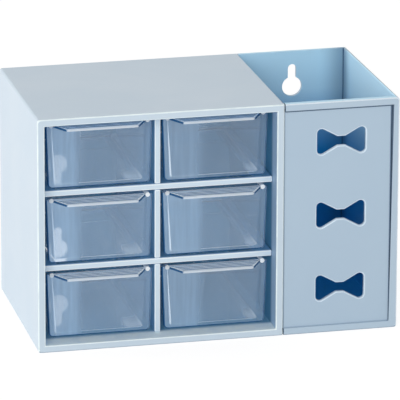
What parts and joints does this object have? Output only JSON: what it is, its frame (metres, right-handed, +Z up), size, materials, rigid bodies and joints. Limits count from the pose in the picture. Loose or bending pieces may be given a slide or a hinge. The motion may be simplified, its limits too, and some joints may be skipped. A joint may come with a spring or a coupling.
{
  "type": "desktop drawer organizer",
  "caption": "Small desktop organizer: a cabinet of clear pull-out drawers beside an open-topped pen holder whose front panel has bow-shaped cut-outs.",
  "frame": {"origin": "on the surface that the unit stands on, under the middle of its overall box", "axes": "+Z up, -Y out of the drawer fronts, +X towards the pen holder"},
  "size_m": [0.198, 0.108, 0.13],
  "materials": {
    "cabinet_plastic": "satin",
    "holder_plastic": "satin",
    "clear_plastic": "gloss"
  },
  "bodies": {
    "housing": {"cabinet_shell": "cabinet_plastic", "centre_divider": "cabinet_plastic", "upper_shelf": "cabinet_plastic", "lower_shelf": "cabinet_plastic", "pen_holder": "holder_plastic", "bow_panel": "holder_plastic"},
    "drawer_top_left": {"drawer_top_left": "clear_plastic"},
    "drawer_top_right": {"drawer_top_right": "clear_plastic"},
    "drawer_middle_left": {"drawer_middle_left": "clear_plastic"},
    "drawer_middle_right": {"drawer_middle_right": "clear_plastic"},
    "drawer_bottom_left": {"drawer_bottom_left": "clear_plastic"},
    "drawer_bottom_right": {"drawer_bottom_right": "clear_plastic"}
  },
  "joints": [
    {"name": "top_left_slide", "type": "slide", "parent": "housing", "child": "drawer_top_left", "axis": [0, -1, 0], "range_m": [0, 0.07]},
    {"name": "top_right_slide", "type": "slide", "parent": "housing", "child": "drawer_top_right", "axis": [0, -1, 0], "range_m": [0, 0.07]},
    {"name": "middle_left_slide", "type": "slide", "parent": "housing", "child": "drawer_middle_left", "axis": [0, -1, 0], "range_m": [0, 0.07]},
    {"name": "middle_right_slide", "type": "slide", "parent": "housing", "child": "drawer_middle_right", "axis": [0, -1, 0], "range_m": [0, 0.07]},
    {"name": "bottom_left_slide", "type": "slide", "parent": "housing", "child": "drawer_bottom_left", "axis": [0, -1, 0], "range_m": [0, 0.07]},
    {"name": "bottom_right_slide", "type": "slide", "parent": "housing", "child": "drawer_bottom_right", "axis": [0, -1, 0], "range_m": [0, 0.07]}
  ]
}
